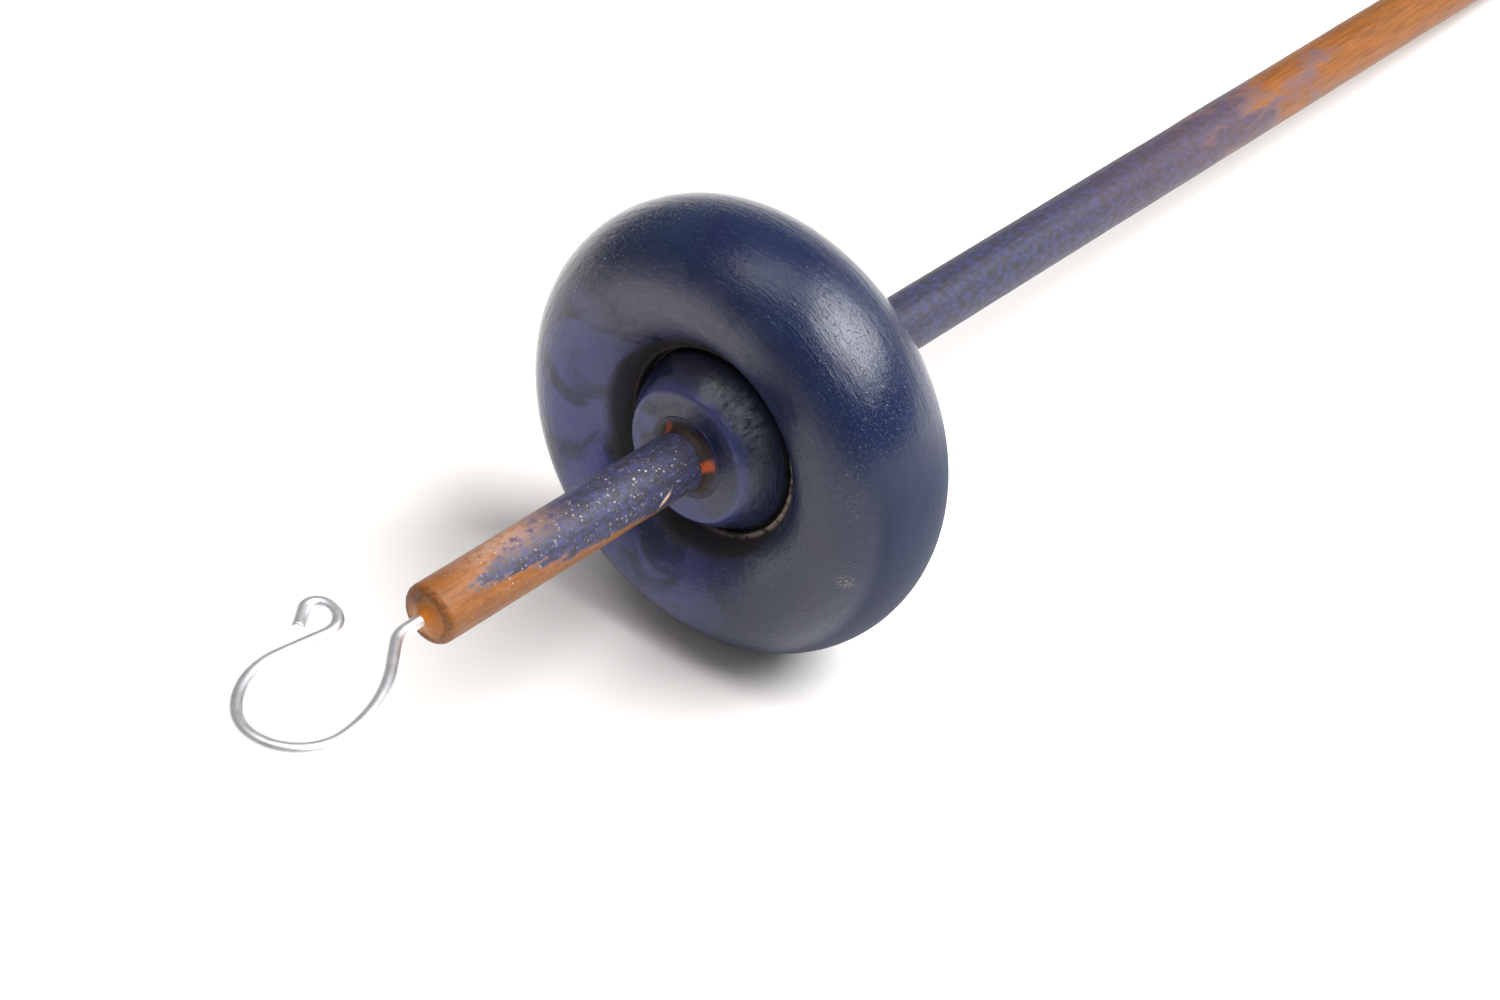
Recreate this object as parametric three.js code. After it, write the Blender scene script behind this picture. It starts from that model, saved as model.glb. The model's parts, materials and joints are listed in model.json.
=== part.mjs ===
// A top-whorl drop spindle: a stained dowel, a turned wooden wheel glued near one end of it,
// and a bent wire hook set in that end. It lies on its side, as it does on a table.
//
// Millimetres, +Z up. The table is z = 0, and the origin is on it, under the middle of the
// object's box. The dowel's tail points along +X and its hook end along -X.
//
// The pieces share one axis, +Y of the group that lays them down. It runs from the tail to
// the hook, and Y = 0 is the middle of the wheel's thickness.

import * as THREE from 'three';

// ---------------------------------------------------------------- driving dimensions

// Dowel
const SHAFT_RADIUS = 3.2; // a quarter-inch dowel and its coats of stain
const TIP_LENGTH = 45.5; // from the wheel's middle to the hook end
const TAIL_LENGTH = 168; // from the wheel's middle to the tail end
const TIP_ROUND = 0.9; // rounding of the hook end, or as much as the drilled hole leaves
const TAIL_ROUND = 0.6; // rounding of the tail end

// Wheel, turned in one piece with its hub; a drop is measured from the tyre's crown
const WHORL_RADIUS = 24.75;
const WHORL_HALF_THICKNESS = 8.2;
const RIM_WIDTH = 6.95; // from the tyre's crown out to its widest
const DISH_FULLNESS = 4.3; // how far inside the crown the tyre's face turns down
const LIP_DROP = 4.3; // inner edge of the tyre's face
const HUB_LAND = 3.3; // the hub's flat face, from the bore to its rounded edge
const HUB_FACE_DROP = 0.1;
const HUB_EDGE_WIDTH = 0.8; // the rounded edge
const HUB_EDGE_DROP = 0.8; // from the hub's face
const HUB_SKIRT = 2.1; // the hub's slope, from its rounded edge out to its foot
const HUB_FOOT_DROP = 4.2;
const GROOVE_WIDTH = 0.75; // from the hub's foot to the tyre's lip
const GROOVE_FLOOR_DROP = 5.6;
const GROOVE_NARROWING = 0.2; // each wall of the groove, on the way down
const BORE_FLARE = 1; // easing of the bore where it meets the hub's face
const BACK_FLARE = 0.4; // easing of the bore where it meets the back

// Hook; angles are in degrees
const WIRE_RADIUS = 0.65; // 16 gauge
const WIRE_INSIDE = 13; // straight wire inside the dowel
const WIRE_STANDOFF = 2.7; // straight wire between the dowel and the first bend
const FIRST_BEND_RADIUS = 3.5;
const FIRST_BEND = 38;
const STEM_LENGTH = 3.9;
const SWEEP_RADIUS = 18;
const SWEEP = 34;
const LOOP_RADIUS = 5.6;
const LOOP_BEND = 136;
const EASE_RADIUS = 9.3; // the loop opens out before the straight return
const EASE_BEND = 57;
const RETURN_LENGTH = 5.2;
const CURL_RADIUS = 2.85;
const CURL_BEND = 104;
const CURL_TIGHT_RADIUS = 1.36;
const CURL_TIGHT_BEND = 120;
const CURL_END_LENGTH = 2.7;
const HOOK_TURN = 181; // about the dowel: at 0 and 180 the hook's flat lies level

// Fits and glue
const BORE_CLEARANCE = 0.3; // dowel to the wheel's bore
const HOLE_CLEARANCE = 0.35; // wire to the hole drilled in the dowel
const GLUE_GAP = 0.3; // glue to the pieces it sticks to
const WELL_FLARE = 0.85; // widening of the drilled hole's mouth, which is full of glue
const WELL_DEPTH = 2.4;
const HOOK_GLUE_DEPTH = 1.2; // glue in the well
const HOOK_GLUE_CLIMB = 1; // glue standing up the wire, outside the dowel
const HOOK_GLUE_EDGE = 0.15; // its thickness where it ends on the wire
const FILLET_WIDTH = 1.1; // glue round the dowel, on either side of the wheel
const FILLET_HEIGHT = 1.1;

// Facets
const WHORL_SIDES = 64;
const SHAFT_SIDES = 36;
const GLUE_SIDES = 24;
const WIRE_SIDES = 12;
const WIRE_STEPS = 90;
const EDGE_STEPS = 5; // along a small rounding
const TYRE_STEPS = 20; // round the tyre from back to crown
const DISH_STEPS = 7; // from the crown in to the lip

// ---------------------------------------------------------------- materials

function finish(color, roughness, metalness = 0) {
  return new THREE.MeshStandardMaterial({ color, roughness, metalness });
}

// ---------------------------------------------------------------- turned pieces

const { degToRad } = THREE.MathUtils;

function at(radius, height) {
  return new THREE.Vector2(radius, height);
}

// Points of a profile on part of an ellipse; at 0 degrees it is furthest from the axis.
function arc(centre, halfWidth, halfHeight, from, to, steps) {
  const clockwise = to < from;
  const curve = new THREE.EllipseCurve(
    centre.x, centre.y, halfWidth, halfHeight, degToRad(from), degToRad(to), clockwise,
  );
  return curve.getPoints(steps);
}

// A profile turned about +Y. The facets are set so that a flat, not a corner, faces the
// table, which keeps the spindle from rocking.
function turned(profile, sides) {
  return new THREE.LatheGeometry(profile, sides, Math.PI / sides);
}

const holeRadius = WIRE_RADIUS + HOLE_CLEARANCE;
const wellRadius = holeRadius + WELL_FLARE;

function makeShaft() {
  const holeFloor = TIP_LENGTH - WIRE_INSIDE - HOLE_CLEARANCE;
  const tipRound = Math.min(TIP_ROUND, SHAFT_RADIUS - wellRadius);
  const tipCorner = at(SHAFT_RADIUS - tipRound, TIP_LENGTH - tipRound);
  const tailCorner = at(SHAFT_RADIUS - TAIL_ROUND, TAIL_ROUND - TAIL_LENGTH);
  return turned([
    at(0, -TAIL_LENGTH),
    ...arc(tailCorner, TAIL_ROUND, TAIL_ROUND, -90, 0, EDGE_STEPS),
    ...arc(tipCorner, tipRound, tipRound, 0, 90, EDGE_STEPS),
    at(wellRadius, TIP_LENGTH),
    at(holeRadius, TIP_LENGTH - WELL_DEPTH),
    at(holeRadius, holeFloor),
    at(0, holeFloor),
  ], SHAFT_SIDES);
}

const crown = at(WHORL_RADIUS - RIM_WIDTH, WHORL_HALF_THICKNESS);
const boreRadius = SHAFT_RADIUS + BORE_CLEARANCE;
const hubFace = WHORL_HALF_THICKNESS - HUB_FACE_DROP;

function makeWhorl() {
  const hubFaceRadius = boreRadius + HUB_LAND;
  const hubEdge = at(hubFaceRadius, hubFace - HUB_EDGE_DROP);
  const hubFoot = at(hubEdge.x + HUB_EDGE_WIDTH + HUB_SKIRT, crown.y - HUB_FOOT_DROP);
  const lip = at(hubFoot.x + GROOVE_WIDTH, crown.y - LIP_DROP);
  const grooveFloor = crown.y - GROOVE_FLOOR_DROP;
  const dish = new THREE.QuadraticBezierCurve(crown, at(crown.x - DISH_FULLNESS, crown.y), lip);
  return turned([
    at(boreRadius, BACK_FLARE - crown.y),
    at(boreRadius + BACK_FLARE, -crown.y),
    ...arc(at(crown.x, 0), RIM_WIDTH, crown.y, -90, 90, TYRE_STEPS),
    ...dish.getPoints(DISH_STEPS).slice(1),
    at(lip.x - GROOVE_NARROWING, grooveFloor),
    at(hubFoot.x + GROOVE_NARROWING, grooveFloor),
    hubFoot,
    ...arc(hubEdge, HUB_EDGE_WIDTH, HUB_EDGE_DROP, 0, 90, EDGE_STEPS),
    at(boreRadius + BORE_FLARE, hubFace),
    at(boreRadius, hubFace - BORE_FLARE),
    at(boreRadius, BACK_FLARE - crown.y),
  ], WHORL_SIDES);
}

// ---------------------------------------------------------------- hook

// The middle line of a wire bent in one plane. It starts on the axis and heads along +Y;
// its right hand is +X. Angles are in degrees.
class WireRoute extends THREE.Curve {
  constructor(startHeight) {
    super();
    this.flat = new THREE.Path().moveTo(0, startHeight);
    this.end = at(0, startHeight);
    this.heading = 90;
  }

  straight(length) {
    const turn = degToRad(this.heading);
    this.end.add(at(length * Math.cos(turn), length * Math.sin(turn)));
    this.flat.lineTo(this.end.x, this.end.y);
    return this;
  }

  // A bend to the right, or to the left when the angle is negative.
  bend(radius, angle) {
    const toRight = angle > 0;
    const start = degToRad(this.heading + (toRight ? 90 : -90));
    const finishTurn = start - degToRad(angle);
    const centre = at(
      this.end.x - radius * Math.cos(start),
      this.end.y - radius * Math.sin(start),
    );
    this.flat.absarc(centre.x, centre.y, radius, start, finishTurn, toRight);
    this.end.set(
      centre.x + radius * Math.cos(finishTurn),
      centre.y + radius * Math.sin(finishTurn),
    );
    this.heading -= angle;
    return this;
  }

  getPoint(share, target = new THREE.Vector3()) {
    const point = this.flat.getPoint(share);
    return target.set(point.x, point.y, 0);
  }
}

function makeHook() {
  const route = new WireRoute(TIP_LENGTH - WIRE_INSIDE)
    .straight(WIRE_INSIDE + WIRE_STANDOFF)
    .bend(FIRST_BEND_RADIUS, FIRST_BEND)
    .straight(STEM_LENGTH)
    .bend(SWEEP_RADIUS, -SWEEP)
    .bend(LOOP_RADIUS, -LOOP_BEND)
    .bend(EASE_RADIUS, -EASE_BEND)
    .straight(RETURN_LENGTH)
    .bend(CURL_RADIUS, CURL_BEND)
    .bend(CURL_TIGHT_RADIUS, CURL_TIGHT_BEND)
    .straight(CURL_END_LENGTH);
  const circle = new THREE.EllipseCurve(0, 0, WIRE_RADIUS, WIRE_RADIUS).getPoints(WIRE_SIDES);
  const section = new THREE.Shape(circle.slice(1));
  return new THREE.ExtrudeGeometry(section, { steps: WIRE_STEPS, extrudePath: route });
}

// ---------------------------------------------------------------- glue

// Glue in the flared mouth of the drilled hole, with a hollow top that climbs the wire.
function makeHookGlue() {
  const inner = WIRE_RADIUS + GLUE_GAP;
  const top = wellRadius - GLUE_GAP;
  const foot = top - HOOK_GLUE_DEPTH * (WELL_FLARE / WELL_DEPTH);
  const crest = at(inner + HOOK_GLUE_EDGE, TIP_LENGTH + HOOK_GLUE_CLIMB);
  const hollow = new THREE.QuadraticBezierCurve(
    at(top, TIP_LENGTH), at(crest.x, TIP_LENGTH), crest,
  );
  return turned([
    at(inner, TIP_LENGTH - HOOK_GLUE_DEPTH),
    at(foot, TIP_LENGTH - HOOK_GLUE_DEPTH),
    ...hollow.getPoints(EDGE_STEPS),
    at(inner, crest.y),
    at(inner, TIP_LENGTH - HOOK_GLUE_DEPTH),
  ], GLUE_SIDES);
}

// A ring of glue round the dowel, standing on Y = 0 with a hollow outer face.
function makeGlueRing() {
  const inner = SHAFT_RADIUS + GLUE_GAP;
  const hollow = new THREE.QuadraticBezierCurve(
    at(inner + FILLET_WIDTH, 0), at(inner, 0), at(inner, FILLET_HEIGHT),
  );
  return turned([
    at(inner, 0),
    ...hollow.getPoints(EDGE_STEPS),
    at(inner, 0),
  ], GLUE_SIDES);
}

// ---------------------------------------------------------------- assembly

// The tilt that brings the dowel's tail and the tyre down to the same table, in radians.
function restingTilt() {
  let tilt = 0;
  for (let pass = 0; pass < 20; pass += 1) {
    const tyreReach = crown.x * Math.cos(tilt)
      + Math.hypot(RIM_WIDTH * Math.cos(tilt), crown.y * Math.sin(tilt));
    const tailReach = (SHAFT_RADIUS - TAIL_ROUND) * Math.cos(tilt) + TAIL_ROUND;
    tilt = Math.asin((tyreReach - tailReach) / (TAIL_LENGTH - TAIL_ROUND));
  }
  return tilt;
}

// Lays a group down: its +Y goes along -X and up by the tilt, and its +X along +Y.
function layDown(group, tilt) {
  const right = new THREE.Vector3(0, 1, 0);
  const forward = new THREE.Vector3(-Math.cos(tilt), 0, Math.sin(tilt));
  const up = new THREE.Vector3().crossVectors(right, forward);
  group.quaternion.setFromRotationMatrix(new THREE.Matrix4().makeBasis(right, forward, up));
}

const spindle = new THREE.Group();

function addPiece(name, geometry, material) {
  const mesh = new THREE.Mesh(geometry, material);
  mesh.name = name;
  spindle.add(mesh);
  return mesh;
}

addPiece('shaft', makeShaft(), finish(0x6c5a78, 0.45));
addPiece('whorl', makeWhorl(), finish(0x1f2744, 0.25));

const hook = addPiece('hook', makeHook(), finish(0xc9ccd2, 0.3, 1));
hook.rotation.y = -degToRad(HOOK_TURN);

addPiece('hook_glue', makeHookGlue(), finish(0xb8702c, 0.3));

const frontRing = addPiece('whorl_glue_front', makeGlueRing(), finish(0x4a2c1c, 0.35));
frontRing.position.y = hubFace + GLUE_GAP;

const backRing = addPiece('whorl_glue_back', makeGlueRing(), finish(0x4a2c1c, 0.35));
backRing.position.y = -crown.y - GLUE_GAP;
backRing.rotation.x = Math.PI;

layDown(spindle, restingTilt());

const part = new THREE.Group();
part.add(spindle);
part.updateMatrixWorld(true);

const box = new THREE.Box3().setFromObject(part, true);
const middle = box.getCenter(new THREE.Vector3());
spindle.position.set(-middle.x, -middle.y, -box.min.z);

export default part;
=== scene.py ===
"""Dresses the drop spindle: a stained dowel, a lacquered wheel, a wire hook and the glue between them.

Each piece is built in the spindle's own frame, in millimetres: +Z runs along the dowel towards
the hook, +Y is up and z = 0 is the middle of the wheel. It is then laid down as the frame says.
"""

import json
from math import cos, hypot, pi, radians, sin, tau

import bpy
from bpy.props import FloatProperty, FloatVectorProperty, PointerProperty
from mathutils import Matrix, Vector, noise


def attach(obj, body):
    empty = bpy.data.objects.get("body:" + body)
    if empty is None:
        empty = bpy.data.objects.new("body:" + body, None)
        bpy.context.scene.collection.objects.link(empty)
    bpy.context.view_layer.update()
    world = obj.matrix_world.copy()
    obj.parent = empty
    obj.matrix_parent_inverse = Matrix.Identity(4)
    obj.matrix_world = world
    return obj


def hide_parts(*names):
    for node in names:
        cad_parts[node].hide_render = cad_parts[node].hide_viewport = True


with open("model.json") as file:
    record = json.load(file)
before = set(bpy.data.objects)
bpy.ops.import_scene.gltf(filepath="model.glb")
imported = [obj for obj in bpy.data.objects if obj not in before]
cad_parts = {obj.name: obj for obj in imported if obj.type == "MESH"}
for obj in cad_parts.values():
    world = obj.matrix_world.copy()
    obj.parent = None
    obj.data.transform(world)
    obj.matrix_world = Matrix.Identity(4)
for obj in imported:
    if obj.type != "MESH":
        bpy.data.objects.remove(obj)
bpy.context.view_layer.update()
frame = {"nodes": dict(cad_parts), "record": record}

bl_info = {
    "name": "Drop Spindle",
    "version": (1, 0, 0),
    "blender": (4, 5, 0),
    "location": "View3D > Sidebar > Spindle",
    "description": "Builds the finished pieces of a drop spindle around its frame",
    "category": "Object",
}

MM = 0.001


# ------------------------------------------------------------------ the spindle's own frame


def mount(name):
    """The place in the frame's record where something else fastens."""
    return next(m for m in frame["record"]["mounts"] if m["name"] == name)


AHEAD = Vector(mount("hub_face")["axis"]).normalized()
ACROSS = Vector((0.0, -1.0, 0.0))
UP = AHEAD.cross(ACROSS).normalized()
TAIL_CENTRE = Vector(mount("tail_end")["pos_m"])


def along_dowel(node):
    """The lowest and highest place of a frame node along the dowel, from the tail, in metres."""
    reach = [(v.co - TAIL_CENTRE).dot(AHEAD) for v in frame["nodes"][node].data.vertices]
    return min(reach), max(reach)


def widest(node):
    """The greatest distance of a frame node from the dowel's axis, in metres."""
    offsets = [v.co - TAIL_CENTRE for v in frame["nodes"][node].data.vertices]
    return max((offset - AHEAD * offset.dot(AHEAD)).length for offset in offsets)


WHEEL_LOW, WHEEL_HIGH = along_dowel("whorl")
MIDDLE = TAIL_CENTRE + AHEAD * (WHEEL_LOW + WHEEL_HIGH) / 2
HALF_THICKNESS = (WHEEL_HIGH - WHEEL_LOW) / 2 / MM
WHEEL_RADIUS = widest("whorl") / MM
DOWEL_RADIUS = widest("shaft") / MM
TAIL = -(WHEEL_LOW + WHEEL_HIGH) / 2 / MM
TIP = TAIL + along_dowel("shaft")[1] / MM


def laid(x, y, z):
    """A place in the spindle's own frame, as a place in the row's frame, in metres."""
    return MIDDLE + (ACROSS * x + UP * y + AHEAD * z) * MM


# ------------------------------------------------------------------ marks and bends


# Where the marks are, in millimetres. A turn is a bearing about the axis from +X towards +Y, in
# degrees.
DENT = (20.7, -4.8)
ROUGH_PATCH = (21.5, 5.5)
# The next line places the painted highlight on the hub's skirt: its bearing and its radius.
SKIRT_HIGHLIGHT_TURN, SKIRT_HIGHLIGHT_RADIUS = 58.0, 8.6
FRONT_DROP_TURN, REAR_DROP_TURN = 14.0, 128.0
SPLINTER_TURN, SPLINTER_Z = -4.0, 14.7
TONGUE_TURN, TONGUE_Z = 52.0, 44.0

# The hook's route beyond its straight end. A bend is its radius and its turn in degrees, to the
# right where positive. HOOK_TURN is the bearing of the side it leaves to.
FIRST_BEND = (3.5, 38)
STEM_LENGTH = 3.9
SWEEP = (18, -34)
LOOP = (5.6, -136)
EASE = (9.3, -57)
RETURN_LENGTH = 5.2
CURL = (2.85, 104)
TIGHT_CURL = (1.36, 120)
CURL_END_LENGTH = 2.7
HOOK_TURN = 181

# The frame's gap between the dowel and the wheel's bore, and how finely each piece is turned.
BORE_FIT = 0.3
WHEEL_SIDES, DOWEL_SIDES, WIRE_SIDES = 256, 144, 32
RESIN_SIDES, GLUE_SIDES = 96, 128


# ------------------------------------------------------------------ sizes and colours


def length(name, description, default):
    """A length that is written in millimetres and kept in metres."""
    return FloatProperty(name=name, description=description, default=default * MM, unit="LENGTH")


def colour(name, description, default):
    """A colour as red, green and blue."""
    return FloatVectorProperty(
        name=name, description=description, default=default, size=3, subtype="COLOR", min=0, max=1
    )


def own_names(group):
    """The names of the values that a group of settings adds."""
    return [name for name in group.bl_rna.properties.keys() if name not in ("rna_type", "name")]


class SpindleWheelSizes(bpy.types.PropertyGroup):
    rim_width: length("Rim width", "From the tyre's crown out to its widest", 6.95)
    dish_fullness: length("Dish fullness", "Where the tyre's face turns down, inside its crown", 4.3)
    lip_drop: length("Lip drop", "Inner edge of the tyre's face, below its crown", 4.3)
    hub_land: length("Hub land", "Flat of the hub, from the bore to its rounded edge", 3.3)
    hub_face_drop: length("Hub face drop", "Hub's face, below the tyre's crown", 0.1)
    hub_edge_width: length("Hub edge width", "Width of the hub's rounded edge", 0.8)
    hub_edge_drop: length("Hub edge drop", "Depth of the hub's rounded edge", 0.8)
    hub_skirt: length("Hub skirt", "Slope of the hub, from its rounded edge to its foot", 2.1)
    hub_foot_drop: length("Hub foot drop", "Hub's foot, below the tyre's crown", 4.2)
    groove_width: length("Groove width", "From the hub's foot to the tyre's lip", 0.75)
    groove_depth: length("Groove depth", "Groove's floor, below the tyre's crown", 5.6)
    bore_clearance: length("Bore clearance", "Gap between the dowel and the bore", 0.12)
    bore_flare: length("Bore flare", "Easing of the bore's edge in the hub's face", 1.0)


class SpindleDowelSizes(bpy.types.PropertyGroup):
    tip_round: length("Tip rounding", "Rounding of the hook end", 0.9)
    tail_round: length("Tail rounding", "Rounding of the tail end", 0.6)
    well_radius: length("Well radius", "Radius of the drilled hole at its mouth", 1.85)
    grain_depth: length("Grain depth", "Depth of the open grain", 0.03)


class SpindleHookSizes(bpy.types.PropertyGroup):
    wire: length("Wire", "Radius of the wire", 0.65)
    inside: length("Inside", "Straight wire inside the dowel", 13.0)
    standoff: length("Standoff", "Straight wire before the first bend", 2.7)


class SpindleColours(bpy.types.PropertyGroup):
    navy: colour("Navy", "Body of the wheel's lacquer", (0.004, 0.008, 0.04))
    teal: colour("Teal", "Lacquer where the brush left it thin", (0.004, 0.017, 0.052))
    # Painted light: the next two colours are a painted reflection of the table on the wheel's face, blue
    # on the lower-left and grey elsewhere.
    sheen: colour("Haze", "Bloom on the lacquer of the wheel's face", (0.05, 0.054, 0.19))
    grey_sheen: colour("Grey haze", "Bloom high on the wheel's face", (0.046, 0.046, 0.09))
    # Painted reflection: a blue band on the hub's rounded edge.
    edge_reflection: colour("Edge blue", "Bloom on the hub's rounded edge", (0.035, 0.045, 0.2))
    # Painted shade: this colour darkens the groove and a band beside the lip.
    dust_and_shade: colour("Dust", "Dirt in the groove and beside the lip", (0.016, 0.012, 0.01))
    # Painted highlight: pale streaks on the hub's skirt.
    skirt_highlight: colour("Streak", "Pale wipe marks on the hub's skirt", (0.24, 0.29, 0.32))
    bare_wood: colour("Bare wood", "Wood where the lacquer has worn off", (0.3, 0.23, 0.19))
    violet: colour("Violet", "Stain on the dowel", (0.04, 0.042, 0.105))
    slate: colour("Slate", "Stain on the dowel where it lies thickest", (0.03, 0.028, 0.042))
    mauve: colour("Mauve", "Where violet thins over amber", (0.15, 0.08, 0.075))
    amber: colour("Amber", "Varnished wood of the dowel", (0.24, 0.08, 0.012))
    fleck: colour("Fleck", "Pale flecks in the stain", (0.5, 0.46, 0.44))
    wire: colour("Wire", "Aluminium of the hook", (0.8, 0.8, 0.83))
    resin: colour("Resin", "Glue in the dowel's end", (0.38, 0.12, 0.01))
    old_glue: colour("Old glue", "Glue against the wheel", (0.018, 0.009, 0.006))
    chip: colour("Chip", "Bright drops in the old glue", (0.36, 0.06, 0.008))
    # Painted highlight: a rosy sheen on the top of the dowel near the tip.
    top_sheen: colour("Blush", "Rosy haze beside the bare tip", (0.42, 0.25, 0.18))
    splinter: colour("Splinter", "Raw wood of the lifted splinter", (0.6, 0.42, 0.3))


class SpindleStudio(bpy.types.PropertyGroup):
    focal_length: FloatProperty(name="Focal length", description="Lens, in mm", default=92.83)
    camera_turn: FloatProperty(
        name="Camera turn", description="Bearing of the camera's view", default=radians(49.6),
        subtype="ANGLE",
    )
    camera_tilt: FloatProperty(
        name="Camera tilt", description="How far the camera looks down", default=radians(41.92),
        subtype="ANGLE",
    )
    distance: length("Distance", "Camera to the wheel's middle, along the view", 394.35)
    aim_right: length("Aim right", "Aim to the right of the wheel's middle", 1.327)
    aim_down: length("Aim down", "Aim below the wheel's middle", 7.589)
    window: FloatProperty(name="Window", description="Light from the window, in watts", default=25.0)
    ceiling: FloatProperty(name="Ceiling", description="Light from above, in watts", default=3.2)
    room: FloatProperty(name="Room", description="Brightness of the room", default=0.27)
    table: colour("Table", "Pale table", (0.88, 0.86, 0.845))


# ------------------------------------------------------------------ meshes


def add_piece(name, points, faces, stock):
    """A smooth mesh laid down in the row's frame. stock is where each point lies in the piece's
    own straight shape, in millimetres, which the finishes read."""
    mesh = bpy.data.meshes.new(name)
    mesh.from_pydata([laid(*p) for p in points], [], faces)
    mesh.attributes.new("stock", "FLOAT_VECTOR", "POINT")
    mesh.attributes["stock"].data.foreach_set("vector", [c for p in stock for c in p])
    mesh.shade_smooth()
    mesh.update()
    piece = bpy.data.objects.new(name, mesh)
    bpy.context.collection.objects.link(piece)
    return piece


def rings_to_faces(rings, sides, closed):
    """Quads between rings of equal size, the first joined to the last where closed."""
    faces = []
    for ring in range(rings if closed else rings - 1):
        here, there = ring * sides, (ring + 1) % rings * sides
        for side in range(sides):
            after = (side + 1) % sides
            faces.append((here + side, here + after, there + after, there + side))
    return faces


def arc(centre, width, height, start, end, steps):
    """Points of a profile on part of an ellipse, at 0 degrees furthest from the axis."""
    turns = [radians(start + (end - start) * i / steps) for i in range(steps + 1)]
    return [(centre[0] + width * cos(t), centre[1] + height * sin(t)) for t in turns]


def line(start, end, steps):
    """Points of a profile on a straight stretch, its last point left out."""
    shares = [i / steps for i in range(steps)]
    return [tuple(a + (b - a) * share for a, b in zip(start, end)) for share in shares]


def swoop(start, pull, end, steps):
    """Points of a profile on a curve that leaves start towards pull and reaches end from it."""
    points = []
    for i in range(steps + 1):
        t = i / steps
        points.append(tuple((1 - t) ** 2 * a + 2 * t * (1 - t) * b + t * t * c
                            for a, b, c in zip(start, pull, end)))
    return points


def turned(name, profile, sides, unevenness=None):
    """A profile of (radius, height) turned about the dowel's axis. It closes on itself, or both
    its ends are on the axis. unevenness(radius, height, angle) says how far a point stands out
    from the axis and along it."""
    closed = profile[0][0] > 0
    body = profile if closed else profile[1:-1]
    points, stock = [], []
    for radius, height in body:
        for side in range(sides):
            angle = tau * side / sides
            out, on = unevenness(radius, height, angle) if unevenness else (0.0, 0.0)
            points.append(((radius + out) * cos(angle), (radius + out) * sin(angle), height + on))
            stock.append((radius * cos(angle), radius * sin(angle), height))
    faces = rings_to_faces(len(body), sides, closed)
    if not closed:
        for (_, height), ring in ((profile[0], 0), (profile[-1], len(body) - 1)):
            middle = len(points)
            points.append((0.0, 0.0, height))
            stock.append((0.0, 0.0, height))
            for side in range(sides):
                edge = (ring * sides + side, ring * sides + (side + 1) % sides)
                faces.append((middle, edge[1], edge[0]) if ring == 0 else (middle, *edge))
    return add_piece(name, points, faces, stock)


def wander(where, seed, scale, octaves=3):
    """Smooth unevenness between about -1 and 1."""
    place = Vector(where) * scale + Vector((seed, seed * 1.7, seed * 2.3))
    return noise.fractal(place, 1.0, 2.0, octaves, noise_basis="PERLIN_ORIGINAL")


# ------------------------------------------------------------------ finishes


class Shade:
    """A shader socket that takes part in Python arithmetic."""

    def __init__(self, finish, socket):
        self.finish = finish
        self.socket = socket

    def maths(self, operation, first, second=0.0):
        """Any Math node of one or two values."""
        return self.finish.node("ShaderNodeMath", {"operation": operation}, [first, second])

    def __add__(self, other):
        return self.maths("ADD", self, other)

    def __sub__(self, other):
        return self.maths("SUBTRACT", self, other)

    def __mul__(self, other):
        return self.maths("MULTIPLY", self, other)

    def __truediv__(self, other):
        return self.maths("DIVIDE", self, other)

    def __pow__(self, other):
        return self.maths("POWER", self, other)

    def __rsub__(self, other):
        return self.maths("SUBTRACT", other, self)

    __radd__ = __add__
    __rmul__ = __mul__

    def __abs__(self):
        return self.maths("ABSOLUTE", self)

    def clipped(self):
        """The value kept between 0 and 1."""
        return self.finish.node("ShaderNodeClamp", {}, {"Value": self})

    def step(self, low, high):
        """0 below low, 1 above high and a smooth rise between, or a fall where low is above."""
        settings = {"interpolation_type": "SMOOTHSTEP"}
        if low < high:
            return self.finish.node("ShaderNodeMapRange", settings,
                                    {"Value": self, "From Min": low, "From Max": high})
        return self.finish.node("ShaderNodeMapRange", settings,
                                {"Value": self, "From Min": high, "From Max": low,
                                 "To Min": 1.0, "To Max": 0.0})

    def near(self, middle, reach):
        """1 at middle, falling smoothly to 0 at reach from it."""
        return abs(self - middle).step(reach, 0.0)


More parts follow.
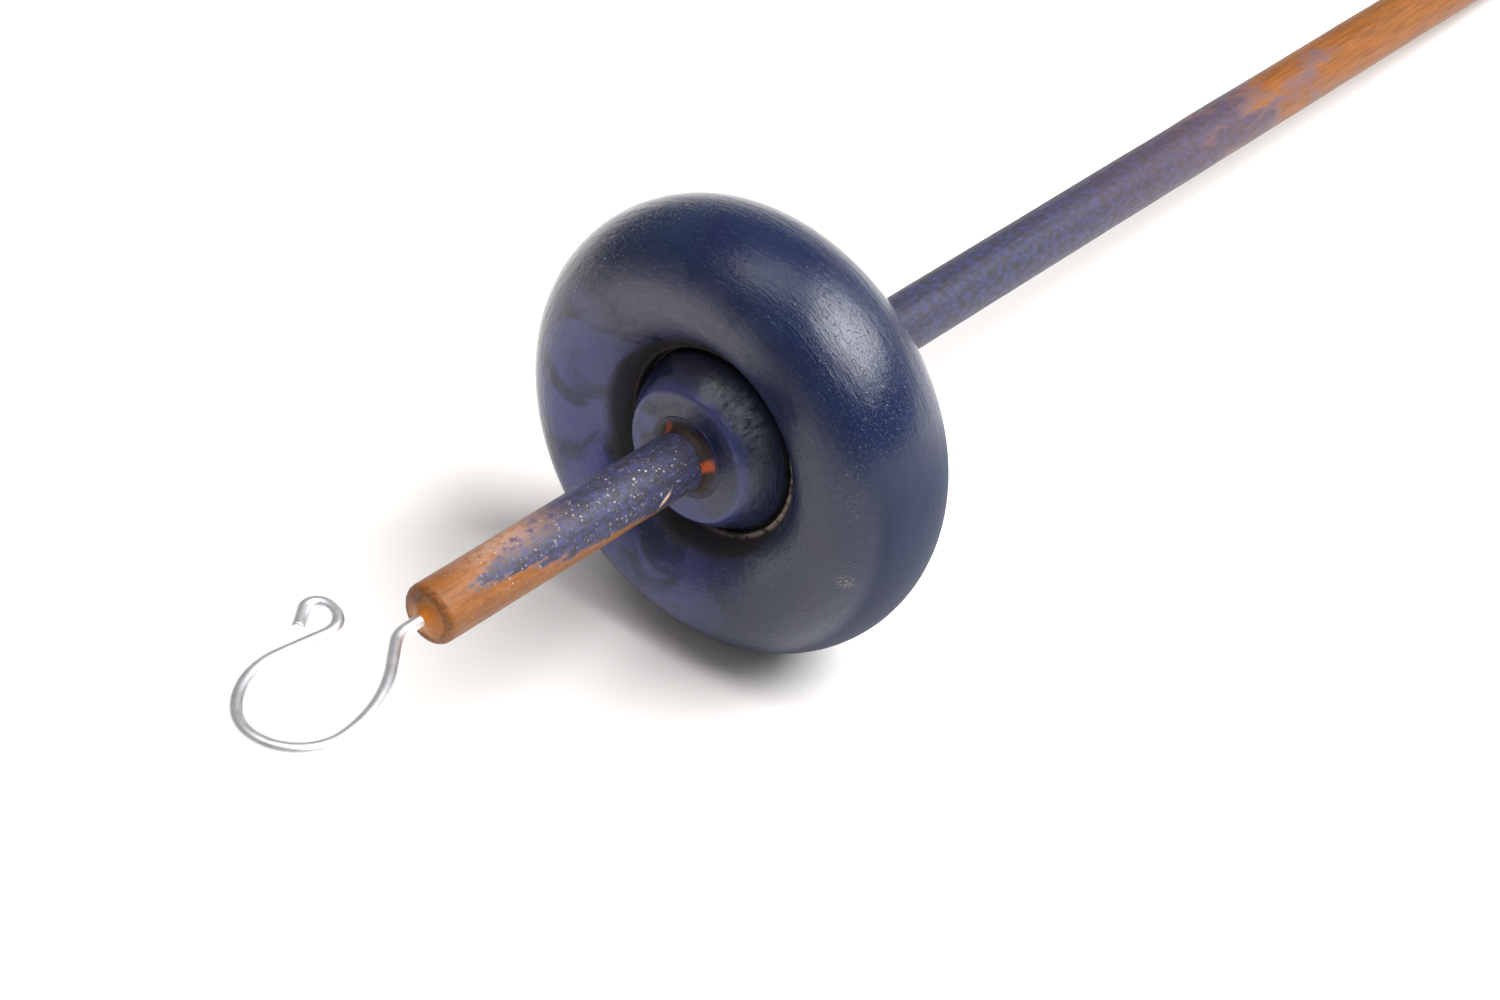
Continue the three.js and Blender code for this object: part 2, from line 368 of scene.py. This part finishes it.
class Finish:
    """A material built node by node on its Principled BSDF."""

    def __init__(self, name):
        self.material = bpy.data.materials.new(name)
        self.material.use_nodes = True
        self.tree = self.material.node_tree
        self.shader = self.tree.nodes["Principled BSDF"]
        self.stock = self.node("ShaderNodeAttribute", {"attribute_name": "stock"}, {}, "Vector")
        self.x, self.y, self.z = self.parts(self.stock)
        self.radius = (self.x * self.x + self.y * self.y) ** 0.5
        self.angle = self.node("ShaderNodeMath", {"operation": "ARCTAN2"}, [self.y, self.x])

    @property
    def turn(self):
        """The bearing about the axis, in degrees."""
        return self.angle * (180 / pi)

    def node(self, kind, settings, inputs, output=0):
        """Any node: its settings first, then the values or links of its sockets."""
        made = self.tree.nodes.new(kind)
        for setting, value in settings.items():
            setattr(made, setting, value)
        pairs = inputs.items() if isinstance(inputs, dict) else enumerate(inputs)
        for socket, value in pairs:
            self.put(made.inputs[socket], value)
        return Shade(self, made.outputs[output])

    def put(self, socket, value):
        """Links a socket to another, or sets its value."""
        if isinstance(value, Shade):
            self.tree.links.new(value.socket, socket)
        elif socket.type == "RGBA":
            socket.default_value = (*value[:3], 1.0)
        else:
            socket.default_value = value

    def parts(self, vector):
        """The three numbers of a vector or a colour."""
        first = self.node("ShaderNodeSeparateXYZ", {}, [vector])
        return [Shade(self, output) for output in first.socket.node.outputs]

    def vector(self, x, y, z):
        return self.node("ShaderNodeCombineXYZ", {}, [x, y, z])

    def around(self, across=1.0, along=1.0):
        """The place as if unrolled from the axis: round the dowel, along it, away from it."""
        return self.vector(self.angle * self.radius * across, self.z * along, self.radius * across)

    def cloud(self, place, scale, detail=3.0, roughness=0.5, warp=0.0):
        """Soft noise between 0 and 1, with as many lumps to the millimetre as scale says."""
        return self.node("ShaderNodeTexNoise", {},
                         {"Vector": place, "Scale": scale, "Detail": detail,
                          "Roughness": roughness, "Distortion": warp}, "Fac")

    def mix(self, share, first, second):
        """The first colour where share is 0 and the second where it is 1."""
        settings = {"data_type": "RGBA", "clamp_factor": True}
        factor, colour_a, colour_b, colour_out = 0, 6, 7, 2
        inputs = {factor: share, colour_a: first, colour_b: second}
        return self.node("ShaderNodeMix", settings, inputs, colour_out)

    def tint(self, hue, share):
        """A colour times a number."""
        return self.node("ShaderNodeVectorMath", {"operation": "SCALE"},
                         {"Vector": hue, "Scale": share})

    def bump(self, height, depth):
        """A normal from a height; depth is in metres."""
        return self.node("ShaderNodeBump", {}, {"Height": height, "Strength": 1.0, "Distance": depth})

    def from_mark(self, mark):
        """How far a place is from a mark, seen along the axis."""
        return ((self.x - mark[0]) ** 2.0 + (self.y - mark[1]) ** 2.0) ** 0.5

    def specks(self, place, scale, size, share):
        """Round specks: 1 in the middle of each. share is how many of the cells hold one."""
        softness = 0.02
        inputs = {"Vector": place, "Scale": scale, "Randomness": 1.0}
        settings = {"feature": "F1"}
        distance = self.node("ShaderNodeTexVoronoi", settings, inputs, "Distance")
        cell = self.node("ShaderNodeTexVoronoi", settings, inputs, "Color")
        chosen = self.parts(cell)[0].step(1 - share, 1 - share + softness)
        return distance.step(size, size * 0.4) * chosen

    def set(self, **inputs):
        """Sets or links the shader's own sockets, and gives the finished material."""
        for name, value in inputs.items():
            self.put(self.shader.inputs[name.replace("_", " ")], value)
        return self.material


def finish_piece(piece, material, node):
    """Gives a piece its material, and puts it in the place of its frame node."""
    piece.data.materials.append(material)
    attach(piece, "root")
    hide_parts(node)


def lacquer(colours, lip_radius, lip_height):
    """Navy gloss lacquer, brushed round the wheel and worn off the lip, with a painted reflection on its
    face and the hub's rounded edge, painted shade in the groove and beside the lip, and a painted
    highlight on the hub's skirt.
    """
    look = Finish("Navy Lacquer")
    turn = look.turn
    brushed = look.vector(look.radius * 2.6, look.z * 2.6, look.angle * 5.0)
    streaks = look.cloud(brushed, 2.2, 6.0, 0.65)
    patches = look.cloud(look.stock, 0.12, 3.0, 0.55, 0.6)
    shade = (patches * 2.4 - 0.8 + (streaks - 0.5) * 0.9).clipped()
    body = look.mix(shade, colours.navy, colours.teal)
    # Painted reflection: the table's reflection is painted as a patchy haze on the front of the wheel
    # and hub, fading to the right, blue on the lower-left and grey elsewhere.
    face_sheen_patches = look.cloud(look.stock, 0.13, 2.0, 0.45, 1.2)
    face_sheen = look.z.step(1.0, 6.0) * look.radius.step(22.5, 18.0) * look.x.step(12.0, -4.0)
    face_sheen = face_sheen * face_sheen_patches.step(0.37, 0.53) * (0.75 + streaks * 0.5)
    low_side = ((look.x + look.y) / look.radius).step(0.3, -1.2)
    body = look.mix(face_sheen, body, look.mix(low_side.step(0.0, 0.5), colours.grey_sheen, colours.sheen))
    scuffs = look.cloud(look.stock, 0.9, 5.0, 0.6)
    # Painted reflection: a patchy blue band painted round the hub's rounded edge.
    shoulder = look.radius.near(7.35, 0.95) * look.z.step(6.2, 7.2)
    body = look.mix(shoulder * (0.1 + scuffs * 0.8), body, colours.edge_reflection)
    # Painted highlight: pale radial streaks painted on the upper right of the hub's skirt.
    skirt_highlight_noise = look.cloud(look.vector(look.angle * 9.0, look.radius * 0.9, 0.0), 1.6, 5.0, 0.65)
    skirt_highlight_mask = turn.near(SKIRT_HIGHLIGHT_TURN, 46.0) * look.radius.near(SKIRT_HIGHLIGHT_RADIUS, 1.2) * look.z.step(4.0, 5.0)
    skirt_highlight_mask = (skirt_highlight_mask * skirt_highlight_noise.step(0.32, 0.6)).clipped()
    body = look.mix(skirt_highlight_mask * 0.85, body, colours.skirt_highlight)
    lip = ((look.radius - lip_radius) ** 2.0 + (look.z - lip_height) ** 2.0) ** 0.5
    worn = lip.step(0.75, 0.2) * scuffs.step(0.3, 0.52) * (0.35 + 0.65 * turn.near(-20.0, 95.0))
    fine_scuffs = look.cloud(look.stock, 5.0, 3.0, 0.6)
    chipped = look.from_mark(DENT).step(1.2, 0.2) * look.z.step(2.0, 4.0) * fine_scuffs.step(0.47, 0.6)
    body = look.mix((worn + chipped * 0.6).clipped(), body, colours.bare_wood)
    # Painted shade: the groove and a band just outside the lip, wider on the lower-left, are darkened;
    # the band also dulls the gloss.
    lip_shade = (low_side * 2.0 - look.radius + 11.5).step(-0.4, 0.6) * look.z.step(6.6, 5.4)
    lip_shade = lip_shade * look.radius.step(9.6, 10.2) * look.z.step(0.0, 1.0)
    groove = look.radius.step(9.5, 9.9) * look.radius.step(11.0, 10.6) * look.z.step(4.6, 4.0)
    groove = groove * look.z.step(0.0, 1.0)
    body = look.mix(((lip_shade + groove) * (1.0 - worn) * 0.9).clipped(), body, colours.dust_and_shade)
    smear = look.radius.step(5.2, 3.5) * look.z.step(7.4, 8.0) * scuffs.step(0.35, 0.6)
    body = look.mix(smear * 0.75, body, colours.old_glue)
    rough_patch = look.from_mark(ROUGH_PATCH).step(4.5, 1.5) * look.z.step(3.0, 5.0)
    dull = look.x.step(2.0, 15.0) * look.z.step(7.2, 4.6) * look.y.step(14.0, 4.0)
    dull = (dull + lip_shade).clipped()
    ridges = look.cloud(look.vector(look.radius * 3.4, look.z * 3.4, look.angle * 8.0), 2.0, 6.0, 0.7)
    orange_peel = look.cloud(look.stock, 1.6, 4.0, 0.55)
    swell = look.cloud(look.vector(look.radius * 1.2, look.z * 1.2, look.angle * 6.0), 0.9, 3.0, 0.6)
    specks = look.specks(look.stock, 1.3, 0.22, 0.35)
    grit = look.specks(look.stock, 2.6, 0.34, 0.5)
    pits = fine_scuffs.step(0.58, 0.72)
    height = ridges * 1.2 + swell * 2.4 + orange_peel * 0.8 + specks * 0.8 - pits * 0.5 - chipped * 1.5
    height = height + rough_patch * (grit * 3.0 - pits * 3.0)
    return look.set(Base_Color=body, Roughness=0.04 + worn * 0.35 + dull * 0.75, IOR=1.5,
                    Coat_Weight=0.08, Coat_Roughness=0.3, Normal=look.bump(height, 0.000038))


def stained_dowel(colours):
    """Amber varnished wood under violet stain, which is gone from the tip and thins to the tail.
    On the hook side of the wheel the stain ends in a tongue that points at the tip."""
    look = Finish("Stained Dowel")
    turn = look.turn
    off = look.node("ShaderNodeMath", {"operation": "WRAP"}, [turn - TONGUE_TURN, 180.0, -180.0])
    grain = look.cloud(look.around(1.0, 0.08), 2.4, 5.0, 0.65)
    blotch = look.cloud(look.around(0.4, 0.13), 1.0, 4.0, 0.6, 0.4)
    mottle = look.cloud(look.around(1.0, 0.6), 1.5, 5.0, 0.7)
    edge = (blotch - 0.5) * 70.0 + (mottle - 0.5) * 50.0 + (grain - 0.5) * 30.0
    from_tip = TONGUE_Z - look.z
    above = (from_tip * 4.6 - off + edge).step(-10.0, 16.0)
    below = (from_tip * 2.8 + off + edge).step(-10.0, 16.0)
    front = (above * below * look.z.step(43.0, 40.5) + look.z.step(10.0, 4.0)).clipped()
    rear = (look.z + (blotch - 0.5) * 60.0).step(-122.0, -62.0)
    cover = (front * rear * 1.25 - 0.12 + (blotch - 0.5) * 0.4 + (grain - 0.5) * 0.4).clipped()
    wood = look.mix(grain.step(0.35, 0.7), colours.amber, look.tint(colours.amber, 0.6))
    body = look.mix(cover.step(0.08, 0.5), wood, colours.mauve)
    stain = look.mix(mottle.step(0.38, 0.6), colours.violet, colours.slate)
    stain = look.mix(look.z.step(-40.0, -100.0) * 0.35, stain, colours.mauve)
    body = look.mix(cover.step(0.35, 0.8), body, look.tint(stain, 0.7 + grain * 0.6))
    # Painted highlight: a rosy sheen painted along the top of the dowel, beside the bare tip.
    sheen = turn.near(98.0, 56.0) * look.z.near(34.5, 10.0) * mottle.step(0.3, 0.55)
    body = look.mix(sheen * 0.75, body, colours.top_sheen)
    dust_and_shade = look.specks(look.stock, 4.2, 0.36, 0.5)
    fine = look.specks(look.stock, 2.2, 0.38, 0.5)
    coarse = look.specks(look.stock, 1.2, 0.28, 0.55)
    clusters = look.cloud(look.stock, 0.55, 3.0, 0.6).step(0.42, 0.6)
    belt = turn.near(50.0, 75.0) * look.z.step(41.0, 35.0) * look.z.step(8.5, 13.0)
    specks = (dust_and_shade * 0.5 + fine * 0.8 + coarse) * (belt * clusters + 0.1 * look.z.step(8.0, 10.0))
    body = look.mix(specks.clipped() * 0.85, body, colours.fleck)
    slant = (turn - SPLINTER_TURN) / 11.0 + (look.z - SPLINTER_Z) * 1.2
    splinter = slant.near(0.0, 0.8) * look.z.near(SPLINTER_Z, 1.0)
    body = look.mix((splinter * 2.0).clipped(), body, colours.splinter)
    height = grain * 0.8 + mottle * 1.0 + specks * 1.6 + splinter * 2.0
    return look.set(Base_Color=body, Roughness=0.38 + mottle * 0.2, IOR=1.42,
                    Normal=look.bump(height, 0.00007))


def drawn_wire(colours):
    """Soft aluminium with the fine lines of the drawing die along it."""
    look = Finish("Hook Wire")
    lines = look.cloud(look.around(9.0, 0.25), 1.0, 5.0, 0.6)
    smudge = look.cloud(look.stock, 0.8, 3.0)
    return look.set(Base_Color=look.tint(colours.wire, 0.85 + smudge * 0.3), Metallic=1.0,
                    Roughness=0.34 + lines * 0.1 + smudge * 0.08,
                    Normal=look.bump(lines, 0.00001))


def amber_resin(colours):
    """Clear amber glue, with painted shade on the outer part of its upper-left side."""
    look = Finish("Amber Resin")
    swirl = look.cloud(look.stock, 0.7, 4.0, 0.6, 1.0)
    # Painted shade: the outer part of the resin is darkened on its upper-left side.
    shaded_side = look.turn.near(130.0, 75.0) * look.radius.step(1.2, 1.9)
    body = look.mix((swirl.step(0.5, 0.75) * 0.4 + shaded_side * 0.75).clipped(), colours.resin,
                    look.tint(colours.resin, 0.25))
    return look.set(Base_Color=body, Roughness=0.42, IOR=1.4, Coat_Weight=0.1,
                    Coat_Roughness=0.1, Normal=look.bump(swirl, 0.00005))


def brown_glue(colours):
    """Dark dull glue with two bright drops left on it."""
    look = Finish("Brown Glue")
    turn = look.turn
    swirl = look.cloud(look.stock, 1.4, 4.0, 0.6)
    drops = turn.near(FRONT_DROP_TURN, 20.0) + turn.near(REAR_DROP_TURN, 17.0) * 0.55
    drops = drops * look.z.step(7.6, 7.9) * look.radius.step(4.3, 3.9)
    body = look.mix((drops * 1.8 - 0.4 + (swirl - 0.5) * 1.2).clipped(), colours.old_glue,
                    colours.chip)
    # The glue's thin outer edge is mixed towards the painted reflection colour of the wheel's face.
    thin = (look.radius + (swirl - 0.5) * 1.6).step(3.7, 4.3)
    body = look.mix(thin * 0.8, body, look.tint(colours.sheen, 0.3))
    return look.set(Base_Color=body, Roughness=0.6 - thin * 0.3, Specular_IOR_Level=0.35,
                    Normal=look.bump(swirl, 0.0001))


# ------------------------------------------------------------------ pieces


class SPINDLE_OT_wheel(bpy.types.Operator):
    """Turns the wooden wheel and lacquers it"""

    bl_idname = "spindle.wheel"
    bl_label = "Wheel"

    def execute(self, context):
        sizes = context.scene.spindle_wheel
        size = {name: getattr(sizes, name) / MM for name in own_names(sizes)}
        crown = (WHEEL_RADIUS - size["rim_width"], HALF_THICKNESS)
        bore = DOWEL_RADIUS + size["bore_clearance"]
        face_radius = DOWEL_RADIUS + BORE_FIT + size["hub_land"]
        face = crown[1] - size["hub_face_drop"]
        edge = (face_radius + size["hub_edge_width"], face - size["hub_edge_drop"])
        foot = (edge[0] + size["hub_skirt"], crown[1] - size["hub_foot_drop"])
        lip = (foot[0] + size["groove_width"], crown[1] - size["lip_drop"])
        floor = crown[1] - size["groove_depth"]
        turn_down = (crown[0] - size["dish_fullness"], crown[1])
        flare = size["bore_flare"]
        shoulder = arc((face_radius, edge[1]), size["hub_edge_width"], size["hub_edge_drop"], 35, 90, 14)
        skirt_pull = (foot[0] - 0.95, foot[1] + 2.05)
        back = -crown[1]
        profile = [
            # the eased edge of the bore in the back, the back and the tyre
            *line((bore, back + 0.5), (bore + 0.4, back + 0.1), 3),
            *line((bore + 0.5, back), (crown[0], back), 24),
            *arc((crown[0], 0), size["rim_width"], crown[1], -90, 90, 96),
            # the dish, its lip and the groove
            *swoop(crown, turn_down, (lip[0] + 0.4, lip[1] + 0.18), 40)[1:],
            (lip[0] + 0.29, lip[1] + 0.02),
            *arc((lip[0] + 0.02, lip[1] - 0.1), 0.2, 0.17, 20, 180, 8),
            *line((lip[0] - 0.19, lip[1] - 0.2), (lip[0] - 0.25, floor + 0.1), 6),
            *line((lip[0] - 0.3, floor), (foot[0] + 0.15, floor), 2),
            *line((foot[0] + 0.12, floor + 0.1), (foot[0] + 0.05, foot[1] - 0.2), 6),
            # the hub's skirt, rounded edge and face, and the bore
            *swoop(foot, skirt_pull, shoulder[0], 24)[:-1],
            *shoulder,
            *line((face_radius - 0.2, face), (bore + flare, face), 8),
            *line((bore + flare - 0.05, face - 0.02), (bore, face - flare), 6),
            *line((bore, face - flare - 0.1), (bore, back + 0.6), 6),
        ]

        def unevenness(radius, height, angle):
            where = (radius * cos(angle), radius * sin(angle), height)
            swell = wander(where, seed=3.1, scale=0.05, octaves=2) * 0.06
            brush = wander((radius, height, angle * 1.5), seed=8.4, scale=0.9) * 0.012
            return swell + brush, swell

        piece = turned("wheel", profile, WHEEL_SIDES, unevenness)
        finish_piece(piece, lacquer(context.scene.spindle_colours, *lip), "whorl")
        return {"FINISHED"}


class SPINDLE_OT_dowel(bpy.types.Operator):
    """Rounds the dowel's ends, drills its tip and stains it"""

    bl_idname = "spindle.dowel"
    bl_label = "Dowel"

    def execute(self, context):
        sizes = context.scene.spindle_dowel
        tip_round, tail_round = sizes.tip_round / MM, sizes.tail_round / MM
        well = sizes.well_radius / MM
        grain_depth = sizes.grain_depth / MM
        shank = (TIP - tip_round) - (TAIL + tail_round)
        shank_step, drilled = 0.5, 2.6
        profile = [
            (0.0, TAIL),
            *line((0.4, TAIL), (DOWEL_RADIUS - tail_round, TAIL), 5),
            *arc((DOWEL_RADIUS - tail_round, TAIL + tail_round), tail_round, tail_round, -90, 0, 8),
            *line((DOWEL_RADIUS, TAIL + tail_round + 0.3), (DOWEL_RADIUS, TIP - tip_round),
                  int(shank / shank_step)),
            *arc((DOWEL_RADIUS - tip_round, TIP - tip_round), tip_round, tip_round, 0, 90, 14),
            *line((well, TIP), (1.0, TIP - 2.4), 8),
            (0.9, TIP - drilled),
            (0.0, TIP - drilled),
        ]

        def unevenness(radius, height, angle):
            skin = max(0.0, (radius - well) / (DOWEL_RADIUS - well))
            where = (cos(angle) * 3.2, sin(angle) * 3.2, height * 0.035)
            pores = wander(where, seed=5.5, scale=2.4, octaves=4)
            around = (cos(angle) * 3, sin(angle) * 3, height * 0.3)
            lumps = wander(around, seed=2.2, scale=0.4, octaves=2)
            return skin * (pores * grain_depth + lumps * grain_depth), 0.0

        piece = turned("dowel", profile, DOWEL_SIDES, unevenness)
        finish_piece(piece, stained_dowel(context.scene.spindle_colours), "shaft")
        return {"FINISHED"}


class WireBender:
    """Walks the middle of a wire that is bent in one plane, in millimetres. It starts on the
    dowel's axis and heads for the hook end; its right hand is the spindle's +X."""

    def __init__(self, start):
        self.x, self.z, self.heading = 0.0, start, pi / 2
        self.walk = [(self.x, self.z, self.heading)]

    def straight(self, run, step=0.3):
        steps = max(1, round(run / step))
        for _ in range(steps):
            self.x += run / steps * cos(self.heading)
            self.z += run / steps * sin(self.heading)
            self.walk.append((self.x, self.z, self.heading))
        return self

    def bend(self, radius, angle, step=0.16):
        """To the right, or to the left where the angle is negative; the angle is in degrees."""
        turn = radians(angle)
        steps = max(2, round(abs(turn) * radius / step))
        side = 1 if turn > 0 else -1
        centre = (self.x + side * radius * sin(self.heading),
                  self.z - side * radius * cos(self.heading))
        first = self.heading
        for i in range(1, steps + 1):
            self.heading = first - turn * i / steps
            self.x = centre[0] - side * radius * sin(self.heading)
            self.z = centre[1] + side * radius * cos(self.heading)
            self.walk.append((self.x, self.z, self.heading))
        return self


class SPINDLE_OT_hook(bpy.types.Operator):
    """Bends the wire hook"""

    bl_idname = "spindle.hook"
    bl_label = "Hook"

    def execute(self, context):
        sizes = context.scene.spindle_hook
        wire, inside, standoff = sizes.wire / MM, sizes.inside / MM, sizes.standoff / MM
        bender = (
            WireBender(TIP - inside)
            .straight(inside + standoff)
            .bend(*FIRST_BEND)
            .straight(STEM_LENGTH)
            .bend(*SWEEP)
            .bend(*LOOP)
            .bend(*EASE)
            .straight(RETURN_LENGTH)
            .bend(*CURL)
            .bend(*TIGHT_CURL)
            .straight(CURL_END_LENGTH)
        )
        plane_x, plane_y = -cos(radians(HOOK_TURN)), sin(radians(HOOK_TURN))
        rounding, rounding_steps = 0.18, 5
        walk = bender.walk
        points, stock, rings, travelled = [], [], [], 0.0
        for i, (x, z, heading) in enumerate(walk):
            if i:
                travelled += hypot(x - walk[i - 1][0], z - walk[i - 1][1])
            rings.append((x, z, heading, travelled, wire))
        end = rings[-1]
        for i in range(1, rounding_steps + 1):
            t = radians(90 * i / rounding_steps)
            on = rounding * sin(t)
            rings.append((end[0] + on * cos(end[2]), end[1] + on * sin(end[2]), end[2],
                          end[3] + on, wire - rounding * (1 - cos(t))))
        x, z, heading, run, radius = rings[-1]
        rings += [(x, z, heading, run, radius * share) for share in (0.85, 0.5, 0.1)]
        for x, z, heading, run, radius in rings:
            for side in range(WIRE_SIDES):
                angle = tau * side / WIRE_SIDES
                out, off = radius * cos(angle), radius * sin(angle)
                fx, fz = x + out * sin(heading), z - out * cos(heading)
                points.append((fx * plane_x - off * plane_y, fx * plane_y + off * plane_x, fz))
                stock.append((out, off, run))
        faces = rings_to_faces(len(rings), WIRE_SIDES, False)
        faces.append(tuple(range(WIRE_SIDES)))
        faces.append(tuple(reversed(range((len(rings) - 1) * WIRE_SIDES, len(rings) * WIRE_SIDES))))
        piece = add_piece("hook_wire", points, faces, stock)
        finish_piece(piece, drawn_wire(context.scene.spindle_colours), "hook")
        return {"FINISHED"}


class SPINDLE_OT_glue(bpy.types.Operator):
    """Runs the glue into the dowel's end and round the dowel on both sides of the wheel"""

    bl_idname = "spindle.glue"
    bl_label = "Glue"

    def execute(self, context):
        colours = context.scene.spindle_colours
        wire = context.scene.spindle_hook.wire / MM
        well = context.scene.spindle_dowel.well_radius / MM
        meniscus = []
        steps = 14
        for i in range(steps + 1):
            t = i / steps
            radius = (DOWEL_RADIUS - 0.72) * (1 - t) + (wire + 0.02) * t
            meniscus.append((radius, TIP - 0.03 + 0.3 * t + 0.55 * t ** 4))
        plug = [(wire - 0.05, TIP - 1.2), (well - 0.2, TIP - 1.2), (DOWEL_RADIUS - 0.75, TIP - 0.15),
                *meniscus, (wire - 0.05, TIP + 0.9)]

        def slump(radius, height, angle):
            where = (cos(angle) * radius, sin(angle) * radius, height)
            lump = wander(where, seed=6.6, scale=0.7, octaves=2)
            return 0.0, lump * 0.14 * (1 - radius / DOWEL_RADIUS)

        tip = turned("tip_resin", plug, RESIN_SIDES, slump)
        finish_piece(tip, amber_resin(colours), "hook_glue")

        face = HALF_THICKNESS - context.scene.spindle_wheel.hub_face_drop / MM
        for name, node, level, outward in (("hub_glue", "whorl_glue_front", face, 1),
                                           ("back_glue", "whorl_glue_back", -HALF_THICKNESS, -1)):
            spread = 1.36 if outward > 0 else 0.7
            climb, steps = 1.15, 12
            fillet = [(DOWEL_RADIUS - 0.1, level - 0.6 * outward),
                      (DOWEL_RADIUS + 0.45, level - 0.4 * outward)]
            for i in range(steps + 1):
                t = i / steps
                fillet.append((DOWEL_RADIUS + spread * (1 - t) ** 1.7,
                               level + outward * (0.01 + climb * t ** 2.2)))
            fillet.append((DOWEL_RADIUS - 0.1, level + climb * outward))
            if outward < 0:
                fillet.reverse()

            def run(radius, height, angle, level=level):
                lump = wander((cos(angle) * 3.5, sin(angle) * 3.5, level), seed=4.4, scale=0.8)
                share = max(0.0, radius - DOWEL_RADIUS)
                return 0.0, lump * 0.3 * (1.0 - min(1.0, share))

            ring = turned(name, fillet, GLUE_SIDES, run)
            finish_piece(ring, brown_glue(colours), node)
        return {"FINISHED"}


class SPINDLE_OT_stage(bpy.types.Operator):
    """Sets the table, which is 6 metres wide, the lights and the camera"""

    bl_idname = "spindle.stage"
    bl_label = "Table and Camera"

    def execute(self, context):
        scene = context.scene
        studio = scene.spindle_studio
        half = 3.0
        mesh = bpy.data.meshes.new("table")
        corners = [(-half, -half, 0), (half, -half, 0), (half, half, 0), (-half, half, 0)]
        mesh.from_pydata(corners, [], [(0, 1, 2, 3)])
        table = bpy.data.objects.new("table", mesh)
        scene.collection.objects.link(table)
        paint = bpy.data.materials.new("Table")
        paint.use_nodes = True
        shader = paint.node_tree.nodes["Principled BSDF"]
        shader.inputs["Base Color"].default_value = (*studio.table, 1.0)
        shader.inputs["Roughness"].default_value = 0.7
        mesh.materials.append(paint)

        def softbox(name, bearing, height, distance, width, tall, power):
            """An area light seen from the wheel at a bearing from +X and a height, in degrees."""
            light = bpy.data.lights.new(name, "AREA")
            light.shape = "RECTANGLE"
            light.size, light.size_y, light.energy = width, tall, power
            lamp = bpy.data.objects.new(name, light)
            b, h = radians(bearing), radians(height)
            back = Vector((cos(b) * cos(h), sin(b) * cos(h), sin(h)))
            lamp.location = MIDDLE + back * distance
            lamp.rotation_mode = "QUATERNION"
            lamp.rotation_quaternion = back.to_track_quat("Z", "Y")
            scene.collection.objects.link(lamp)

        softbox("window", bearing=-60, height=52, distance=1.1, width=0.85, tall=0.75,
                power=studio.window)
        softbox("ceiling", bearing=125, height=80, distance=1.1, width=0.2, tall=0.75,
                power=studio.ceiling)

        world = bpy.data.worlds.new("room")
        world.use_nodes = True
        background = world.node_tree.nodes["Background"]
        background.inputs["Color"].default_value = (1.0, 0.98, 0.96, 1.0)
        background.inputs["Strength"].default_value = studio.room
        scene.world = world

        camera = bpy.data.cameras.new("camera")
        camera.lens = studio.focal_length
        camera.clip_start = 0.01
        eye = bpy.data.objects.new("camera", camera)
        turn, tilt = studio.camera_turn, studio.camera_tilt
        right = Vector((cos(turn), -sin(turn), 0.0))
        forward = Vector((sin(turn) * cos(tilt), cos(turn) * cos(tilt), -sin(tilt)))
        down = forward.cross(right)
        target = MIDDLE + right * studio.aim_right + down * studio.aim_down
        eye.matrix_world = Matrix((
            (right.x, -down.x, -forward.x, 0.0),
            (right.y, -down.y, -forward.y, 0.0),
            (right.z, -down.z, -forward.z, 0.0),
            (0.0, 0.0, 0.0, 1.0),
        ))
        eye.location = target - forward * studio.distance
        scene.collection.objects.link(eye)
        scene.camera = eye
        scene.view_settings.view_transform = "Standard"
        return {"FINISHED"}


class SPINDLE_PT_panel(bpy.types.Panel):
    """Lists the pieces and the values that shape them"""

    bl_label = "Drop Spindle"
    bl_idname = "SPINDLE_PT_panel"
    bl_space_type = "VIEW_3D"
    bl_region_type = "UI"
    bl_category = "Spindle"

    def draw(self, context):
        for operator in OPERATORS:
            self.layout.operator(operator.bl_idname)
        for group in GROUPS:
            box = self.layout.box()
            values = getattr(context.scene, group)
            for name in own_names(values):
                box.prop(values, name)


OPERATORS = (SPINDLE_OT_wheel, SPINDLE_OT_dowel, SPINDLE_OT_hook, SPINDLE_OT_glue, SPINDLE_OT_stage)
GROUPS = {
    "spindle_wheel": SpindleWheelSizes,
    "spindle_dowel": SpindleDowelSizes,
    "spindle_hook": SpindleHookSizes,
    "spindle_colours": SpindleColours,
    "spindle_studio": SpindleStudio,
}


def register():
    for cls in (*GROUPS.values(), *OPERATORS, SPINDLE_PT_panel):
        bpy.utils.register_class(cls)
    for name, group in GROUPS.items():
        setattr(bpy.types.Scene, name, PointerProperty(type=group))


def unregister():
    for name in GROUPS:
        delattr(bpy.types.Scene, name)
    for cls in reversed((*GROUPS.values(), *OPERATORS, SPINDLE_PT_panel)):
        bpy.utils.unregister_class(cls)


def main():
    register()
    bpy.ops.spindle.wheel()
    bpy.ops.spindle.dowel()
    bpy.ops.spindle.hook()
    bpy.ops.spindle.glue()
    bpy.ops.spindle.stage()


if __name__ == "__main__":
    main()
